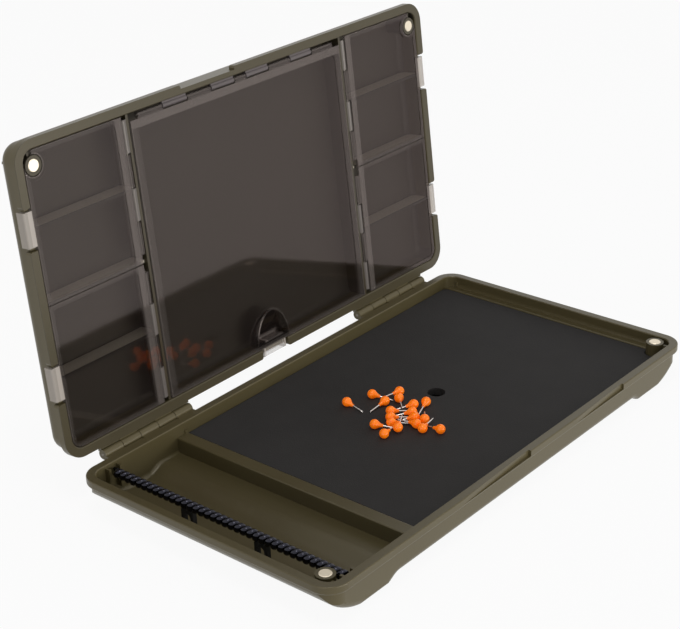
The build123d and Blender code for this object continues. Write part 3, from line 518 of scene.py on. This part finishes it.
def haze_share_of(tree, waves, strip, border, edge):
    """How much of the sheet scatters light: the strongest zone's share, and that with a faint cloud. The
    strip's and the edges' shares are painted highlights, the border's is real scatter.
    """
    thick = join(
        tree,
        "MAXIMUM",
        add(tree, "Math", {0: strip, 1: strip_painted_highlight_haze}, operation="MULTIPLY"),
        add(tree, "Math", {0: border, 1: border_haze}, operation="MULTIPLY"),
        add(tree, "Math", {0: edge, 1: edge_painted_highlight_haze}, operation="MULTIPLY"),
    )
    cloud = add(tree, "MapRange", {"Value": waves, "To Min": least_cloud, "To Max": most_cloud})
    return thick, add(tree, "Math", {0: thick, 1: cloud}, operation="ADD")


def polished_skin(tree, place, ripple, sheet):
    """The sheet under its polish: a Fresnel share of gloss on the faces towards the eye, with a painted
    reflection that dims the gloss's tint from left to right.
    """
    across = add(tree, "SeparateXYZ", {0: place})
    rightness = add(tree, "MapRange", {"Value": across, "From Min": -painted_reflection_end, "From Max": painted_reflection_end})
    left, right = linear(painted_reflection_left), linear(painted_reflection_right)
    shine = add(tree, "Mix", {0: rightness, 6: left, 7: right}, data_type="RGBA").outputs[2]
    polish = add(tree, "BsdfGlossy", {"Color": shine, "Roughness": 0.05, "Normal": ripple})
    fresnel = add(tree, "Fresnel", {"IOR": 1.55, "Normal": ripple})
    far_face = add(tree, "NewGeometry").outputs["Backfacing"]
    near_face = add(tree, "Math", {0: 1.0, 1: far_face}, operation="SUBTRACT")
    share = add(tree, "Math", {0: fresnel, 1: near_face}, operation="MULTIPLY")
    return add(tree, "MixShader", {0: share, 1: sheet, 2: polish})


def smoked_polystyrene(name, zones, thin_clip_cover, thick_clip_cover):
    """Polished smoked polystyrene, seen through to the compartments, with the zones of one kind of door.

    The two covers say how much its clip hides, where it is thin and where it is thick. A door without a
    scoop has one tint all over, so the tint stays on the shader's own socket.
    """
    material, tree, place = new_material(name)
    waves = add(tree, "TexNoise", {"Vector": place, "Scale": 1 / wave_size, "Detail": 1.0})
    ripple = add(tree, "Bump", {"Height": waves, "Strength": 0.2, "Distance": wave_depth})
    strip, border, edge, clip, thick_clip, scoop = zones(tree, place)
    thick, haze_share = haze_share_of(tree, waves, strip, border, edge)
    greyness = add(tree, "MapRange", {"Value": thick, "From Max": border_haze})
    smoke, grey = linear(smoke_tone), linear(haze_tone)
    haze_colour = add(tree, "Mix", {0: greyness, 6: smoke, 7: grey}, data_type="RGBA").outputs[2]
    haze = add(tree, "BsdfDiffuse", {"Color": haze_colour})
    seen_through = linear(smoke_tint)
    # Inside the scoop the see-through tint is darker: painted shade.
    if scoop is not None:
        colours = {0: scoop, 6: seen_through, 7: linear(scoop_painted_shade_tint)}
        seen_through = add(tree, "Mix", colours, data_type="RGBA").outputs[2]
    window = add(tree, "BsdfTransparent", {"Color": seen_through})
    sheet = add(tree, "MixShader", {0: haze_share, 1: window, 2: haze})
    door = polished_skin(tree, place, ripple, sheet)
    cover_range = {"To Min": thin_clip_cover, "To Max": thick_clip_cover}
    cover = add(tree, "MapRange", {"Value": thick_clip, **cover_range})
    # The clip's pale shader is painted light.
    pale_clip_painted_light = add(
        tree,
        "BsdfPrincipled",
        {"Base Color": linear(clip_tone), "Roughness": 0.25, "IOR": 1.59, "Alpha": cover},
    )
    both = add(tree, "MixShader", {0: clip, 1: door, 2: pale_clip_painted_light})
    add(tree, "OutputMaterial", {"Surface": both})
    return material


smoked_side = smoked_polystyrene("smoked_polystyrene_side", side_door_zones, 0.6, 0.8)
smoked_centre = smoked_polystyrene("smoked_polystyrene_centre", centre_door_zones, 0.25, 0.7)
print("nodes of a side door and of the centre door:",
      len(smoked_side.node_tree.nodes), len(smoked_centre.node_tree.nodes))

# %% [markdown]
# Three metals are seen: bright wire in the pins, dull wire in the hinges and warm nickel on the magnets.
# A metal is told apart by its tint and by how sharp its highlights are, and noise breaks them up. Its marks
# are drawn coarser than real ones, which are too fine to show.

# %% Metals
drawing_marks = 0.4 * mm
plating_spots = 1.0 * mm


def metal(name, colour, grain, smooth, rough):
    """A bare metal: its highlights wander between two roughnesses over a grain in metres."""
    material, tree, place = new_material(name)
    spots = add(tree, "TexNoise", {"Vector": place, "Scale": 1 / grain, "Detail": 3.0})
    gloss = add(tree, "MapRange", {"Value": spots, "To Min": smooth, "To Max": rough})
    shader = add(
        tree,
        "BsdfPrincipled",
        {"Base Color": linear(colour), "Metallic": 1.0, "Roughness": gloss},
    )
    add(tree, "OutputMaterial", {"Surface": shader})
    return material


steel = metal("bright_drawn_steel", "cfc9c4", drawing_marks, 0.18, 0.34)
dull_steel = metal("dull_drawn_steel", "77726a", drawing_marks, 0.4, 0.55)
nickel = metal("nickel_plated_magnet", "dfd4bf", plating_spots, 0.3, 0.5)
print("metals:", steel.name, dull_steel.name, nickel.name)

# %% [markdown]
# The spring's wire has a glossy black coating, so it isn't a metal to the eye: it is nearly black, with
# small cool highlights. A dark dielectric with a faint blue tint in its gloss gives that.

# %% Coated wire
coating_spots = 2 * mm


def black_coated_wire():
    """Spring wire under a glossy black coating, with a faint blue cast in its highlights."""
    material, tree, place = new_material("black_coated_spring_wire")
    spots = add(tree, "TexNoise", {"Vector": place, "Scale": 1 / coating_spots, "Detail": 2.0})
    gloss = add(tree, "MapRange", {"Value": spots, "To Min": 0.14, "To Max": 0.2})
    shader = add(
        tree,
        "BsdfPrincipled",
        {
            "Base Color": linear("040406"),
            "Roughness": gloss,
            "IOR": 1.48,
            "Specular Tint": linear("e6e6ff"),
        },
    )
    add(tree, "OutputMaterial", {"Surface": shader})
    return material


spring_black = black_coated_wire()
print(spring_black.name, "nodes:", len(spring_black.node_tree.nodes))

# %% [markdown]
# The small plastics are simple: matte black nylon for the spring's saddles, and orange polystyrene for
# the pin heads. Light that enters a head spreads a short way inside it. A weak glow stands in for light
# that the translucent plastic gathers from all round, and its strength is fitted to the photo.

# %% Small plastics
head_cloud = 4 * mm
head_glow = 0.28
light_spread = 2 * mm


def black_support_plastic():
    """Moulded black nylon of the spring's saddles."""
    material, tree, place = new_material("black_moulded_nylon")
    shader = add(
        tree,
        "BsdfPrincipled",
        {
            "Base Color": linear("0c0b09"),
            "Roughness": 0.65,
            "IOR": 1.45,
            "Normal": grained(tree, place),
        },
    )
    add(tree, "OutputMaterial", {"Surface": shader})
    return material


def orange_pin_plastic():
    """Glossy orange polystyrene of the pins' heads, a little deeper in places, with the weak glow."""
    material, tree, place = new_material("glossy_orange_polystyrene")
    cloud = add(tree, "TexNoise", {"Vector": place, "Scale": 1 / head_cloud, "Detail": 1.0})
    deep, bright = linear("ff7a06"), linear("ff9018")
    tone = add(tree, "Mix", {0: cloud, 6: deep, 7: bright}, data_type="RGBA").outputs[2]
    shader = add(
        tree,
        "BsdfPrincipled",
        {
            "Base Color": tone,
            "Roughness": 0.3,
            "IOR": 1.45,
            "Subsurface Weight": 0.2,
            "Subsurface Scale": light_spread,
            "Emission Color": linear("ff6a00"),
            "Emission Strength": head_glow,
        },
    )
    add(tree, "OutputMaterial", {"Surface": shader})
    return material


nylon = black_support_plastic()
orange = orange_pin_plastic()
print("small plastics:", nylon.name, orange.name)

# %% [markdown]
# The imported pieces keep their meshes, and only their material slots change. Pieces of one kind share the
# beginning of their name, so one short table dresses them: the first beginning that fits is taken.
# Magnets sit in both trays and are told by the word itself.

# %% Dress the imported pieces
finishes = {
    "base_shell": olive,
    "lid_shell": lid_olive,
    "lid_partition": partition_olive_painted_shade_and_light,
    "lid_dividers": divider_olive_painted_light_and_shade,
    "rig_board": foam,
    "hook_spring": spring_black,
    "spring_support": nylon,
    "pin_heads": orange,
    "pin_shafts": steel,
    "main_hinge_pin": dull_steel,
    "door_pin": dull_steel,
    "door_centre": smoked_centre,
    "door_": smoked_side,
}


def finish_of(name):
    """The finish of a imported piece, by its name."""
    if "magnet" in name:
        return nickel
    return next(finish for start, finish in finishes.items() if name.startswith(start))


for name, node in nodes.items():
    for material_slot in node.material_slots:
        material_slot.material = finish_of(name)
print("dressed:", len(nodes))

# %% [markdown]
# Two kinds of form are made here, the spring and the hinge webs, and both are tubes: rings of points
# carried along a path, joined by quads, with a cap at each end. A helper turns points and faces into a
# mesh that rides on a body. Another turns every face outwards and prints the volume, which is above 0
# when they do point out.

# %% Meshes from rings


def new_piece(name, body, material, points, faces):
    """A mesh piece from points in metres, that rides on a body."""
    mesh = bpy.data.meshes.new(name)
    mesh.from_pydata(points.tolist(), [], faces)
    mesh.materials.append(material)
    piece = bpy.data.objects.new(name, mesh)
    bpy.context.scene.collection.objects.link(piece)
    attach(piece, body)
    print(name, "faces:", len(faces))
    return piece


def tube_faces(ring_count, sides):
    """Quads between rings of points, with a cap at each end."""
    along, round_about = np.meshgrid(np.arange(ring_count - 1), np.arange(sides), indexing="ij")
    following = (round_about + 1) % sides
    start, end = along * sides, (along + 1) * sides
    quads = np.stack([start + round_about, end + round_about, end + following, start + following], -1)
    first_cap = list(range(sides))
    last_cap = list(range(ring_count * sides - 1, (ring_count - 1) * sides - 1, -1))
    return quads.reshape(-1, 4).tolist() + [first_cap, last_cap]


def face_outward(piece):
    """Turns each face of a closed mesh outwards."""
    shape = bmesh.new()
    shape.from_mesh(piece.data)
    bmesh.ops.recalc_face_normals(shape, faces=shape.faces)
    shape.to_mesh(piece.data)
    print(piece.name, "volume in mm3:", round(shape.calc_volume(signed=True) / mm**3, 1))
    shape.free()


print("faces of a tube with 2 rings of 6 points:", len(tube_faces(2, 6)))

# %% [markdown]
# In the photo hardly anything shows between the spring's turns, so its coated wire is drawn thick, and
# wider along the coil than across it. A wire that follows a curve is a tube: an ellipse along a path.
# For a helix both directions of that ellipse are known, one away from the coil's axis and one square to
# it and to the wire, so no frame has to be searched for. Its ends run out straight, where the turning
# eases to a stop.

# %% Spring
spring_turns = 37
spring_end_run = 6.0 * mm
coil_wire_radius, coil_wire_stretch = 1.35 * mm, 1.45
end_wire_radius = 1.0 * mm
steps_in_turn = 30
spring_sides = 14


def ease(value):
    """Rises from 0 to 1 with level ends: three squares less two cubes."""
    share = np.clip(value, 0, 1)
    return share * share * (3 - 2 * share)


def spring_points():
    """A helix: its angle grows with Y by one turn a pitch, and not in the straight runs at the ends.

    The wire's centre is middle + reach (cos angle, 0, sin angle) + (0, y, 0), and the ellipse about it
    is wire (cos turn) outward + wire stretch (sin turn) square.
    """
    low, high = (np.array(corner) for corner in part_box("hook_spring"))
    middle = (low + high) / 2
    outer_radius = (high[0] - low[0]) / 2
    half = (high[1] - low[1]) / 2
    pitch = 2 * (half - spring_end_run) / spring_turns
    ring_count = int(2 * half / pitch * steps_in_turn)
    y = np.linspace(-half, half, ring_count)
    coiled = ease((half - np.abs(y)) / spring_end_run)
    rate = 2 * np.pi / pitch * ease(2 * coiled - 0.6)
    angle = np.cumsum(rate) * (y[1] - y[0]) - np.pi / 2
    wire = end_wire_radius + (coil_wire_radius - end_wire_radius) * coiled
    reach = outer_radius - wire
    outward = np.stack([np.cos(angle), 0 * angle, np.sin(angle)], -1)
    centre = middle + reach[:, None] * outward + np.stack([0 * y, y, 0 * y], -1)
    heading = np.gradient(centre, axis=0)
    heading /= np.linalg.norm(heading, axis=1, keepdims=True)
    square = np.cross(heading, outward)
    square /= np.linalg.norm(square, axis=1, keepdims=True)
    square *= (1 + (coil_wire_stretch - 1) * coiled)[:, None]
    turn = np.linspace(0, 2 * np.pi, spring_sides, endpoint=False)
    ellipse = (
        np.cos(turn)[None, :, None] * outward[:, None, :]
        + np.sin(turn)[None, :, None] * square[:, None, :]
    )
    return (centre[:, None, :] + wire[:, None, None] * ellipse).reshape(-1, 3), ring_count


points, ring_count = spring_points()
spring = new_piece("coil_spring", "base", spring_black, points, tube_faces(ring_count, spring_sides))
face_outward(spring)
spring.data.polygons.foreach_set("use_smooth", [True] * len(spring.data.polygons))
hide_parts("hook_spring")

# %% [markdown]
# Between the knuckles of the main hinge the moulding reaches in behind its neighbour, in a hollow round
# the same axis, so that no light shows through the hinge. Each of these webs is a profile in the plane
# across the hinge, carried along X: an arc round the hinge pin, and straight sides back to the wall. The
# lid's webs are drawn shut and then turned open with the lid.

# %% Hinge webs
group_middle, knuckle_pitch = 115.0 * mm, 14.2 * mm
web_arc_radius = 3.35 * mm
web_height = 2.95 * mm
wall_reach = 5.2 * mm
web_gap = 0.3 * mm
arc_points = 8
lid_knuckles, base_knuckles = (-2, 0, 2), (-1, 1)


def web_profile(upward):
    """Points round the pin's arc and back to the wall, as offsets from the pin in Y and Z."""
    start, end = np.arcsin(web_gap / web_arc_radius), np.arcsin(web_height / web_arc_radius)
    turn = np.linspace(start, end, arc_points)
    arc = web_arc_radius * np.stack([-np.cos(turn), np.sin(turn)], -1)
    wall = np.array([(-wall_reach, web_height), (-wall_reach, web_gap)])
    profile = np.vstack([arc, wall])
    profile[:, 1] *= upward
    return profile


def hinge_webs(name, body, material, knuckles, upward, opened):
    """Webs beside some knuckles, drawn shut and turned by an opened angle about the pin."""
    profile = web_profile(upward)
    turn = np.array([[cos(opened), sin(opened)], [-sin(opened), cos(opened)]])
    section = profile @ turn.T + np.array(hinge_place[1:])
    count = len(section)
    points, faces = [], []
    middles = [side * group_middle + knuckle * knuckle_pitch for side in (-1, 1) for knuckle in knuckles]
    for middle in middles:
        start = count * len(points)
        for end in (-1, 1):
            x = np.full((count, 1), middle + end * knuckle_pitch / 2)
            points.append(np.hstack([x, section]))
        faces += [[start + index for index in face] for face in tube_faces(2, count)]
    return new_piece(name, body, material, np.vstack(points), faces)


lid_webs = hinge_webs("lid_hinge_webs", "lid", lid_olive, lid_knuckles, 1, open_angle)
base_webs = hinge_webs("base_hinge_webs", "base", olive, base_knuckles, -1, 0.0)
face_outward(lid_webs)
face_outward(base_webs)

# %% [markdown]
# The studio is white paper with soft light. In the photo the walls are bright and the trays dark, as
# under low light from the left and the front, so two long soft boxes stand low and a square one hangs
# above. A soft box is a large lamp: the larger it is, the softer its shadow.

# %% Lamps


def soft_box(name, place, aim, width, height, watts):
    """A rectangular area lamp that looks at a point."""
    data = bpy.data.lights.new(name, "AREA")
    data.shape = "RECTANGLE"
    data.size, data.size_y, data.energy = width, height, watts
    lamp = bpy.data.objects.new(name, data)
    lamp.location = place
    lamp.rotation_euler = (Vector(aim) - Vector(place)).to_track_quat("-Z", "Y").to_euler()
    bpy.context.scene.collection.objects.link(lamp)
    print(name, "watts:", watts)


soft_box("box_key", place=(-0.35, -0.2, 1.5), aim=(0, 0, 0), width=0.45, height=0.45, watts=4.5)
soft_box("box_left", place=(-1.6, -0.3, 0.16), aim=(0, 0, 0.05), width=1.0, height=0.24, watts=3.6)
soft_box("box_front", place=(0.2, -1.7, 0.14), aim=(0, 0, 0.05), width=1.4, height=0.24, watts=19)

# %% [markdown]
# Paper that is lit softly comes out grey in a picture, and light strong enough to make it white would
# wash out the box. So the paper glows only for what the lens sees, straight or in a reflection, and stays
# plain matte paper for all other light. A small share is kept back, which leaves the box its soft shadow.

# %% Paper floor
paper_seen = 0.93
paper_fibre = 4 * mm
paper_drop = 0.2 * mm


def seen_share(tree, share):
    """A share for what the lens sees, straight, in gloss or through glass, and 0 for all other light."""
    path = add(tree, "LightPath").outputs
    seen = join(
        tree,
        "MAXIMUM",
        path["Is Camera Ray"],
        path["Is Glossy Ray"],
        path["Is Transmission Ray"],
    )
    return add(tree, "Math", {0: seen, 1: share}, operation="MULTIPLY")


def white_paper():
    """Matte white paper that keeps a soft shadow; the lens sees it a little lighter than it is lit."""
    material, tree, place = new_material("white_paper")
    fibres = add(tree, "TexNoise", {"Vector": place, "Scale": 1 / paper_fibre, "Detail": 2.0})
    dim, bright = linear("f3f3f3"), linear("f6f6f6")
    tone = add(tree, "Mix", {0: fibres, 6: dim, 7: bright}, data_type="RGBA").outputs[2]
    paper = add(tree, "BsdfDiffuse", {"Color": tone})
    glow = add(tree, "Emission", {"Strength": 1.0})
    mixed = add(tree, "MixShader", {0: seen_share(tree, paper_seen), 1: paper, 2: glow})
    add(tree, "OutputMaterial", {"Surface": mixed})
    return material


def paper_floor(reach):
    """A flat square of paper just under the feet."""
    mesh = bpy.data.meshes.new("paper_floor")
    corners = reach * np.array([(-1, -1), (1, -1), (1, 1), (-1, 1)])
    heights = np.full((4, 1), -paper_drop)
    mesh.from_pydata(np.hstack([corners, heights]).tolist(), [], [(0, 1, 2, 3)])
    mesh.materials.append(white_paper())
    floor = bpy.data.objects.new("paper_floor", mesh)
    bpy.context.scene.collection.objects.link(floor)
    return floor


paper_floor(6.0)
print("share of the paper's glow that the lens sees:", paper_seen)

# %% [markdown]
# The sky is a plain white dome. It lights the box at a low level from all sides, and the lens and the
# reflections see it as full white, much as they see the paper.

# %% Sky
sky_level = 0.36
world = bpy.data.worlds.new("pale_sky")
world.use_nodes = True
sky = world.node_tree
sky.nodes.clear()
level = add(sky, "MapRange", {"Value": seen_share(sky, 1.0), "To Min": sky_level, "To Max": 1.0})
light = add(sky, "Background", {"Color": (1, 1, 1, 1), "Strength": level})
add(sky, "OutputWorld", {"Surface": light})
bpy.context.scene.world = world
bpy.context.scene.view_settings.view_transform = "Standard"
print("sky nodes:", len(sky.nodes))
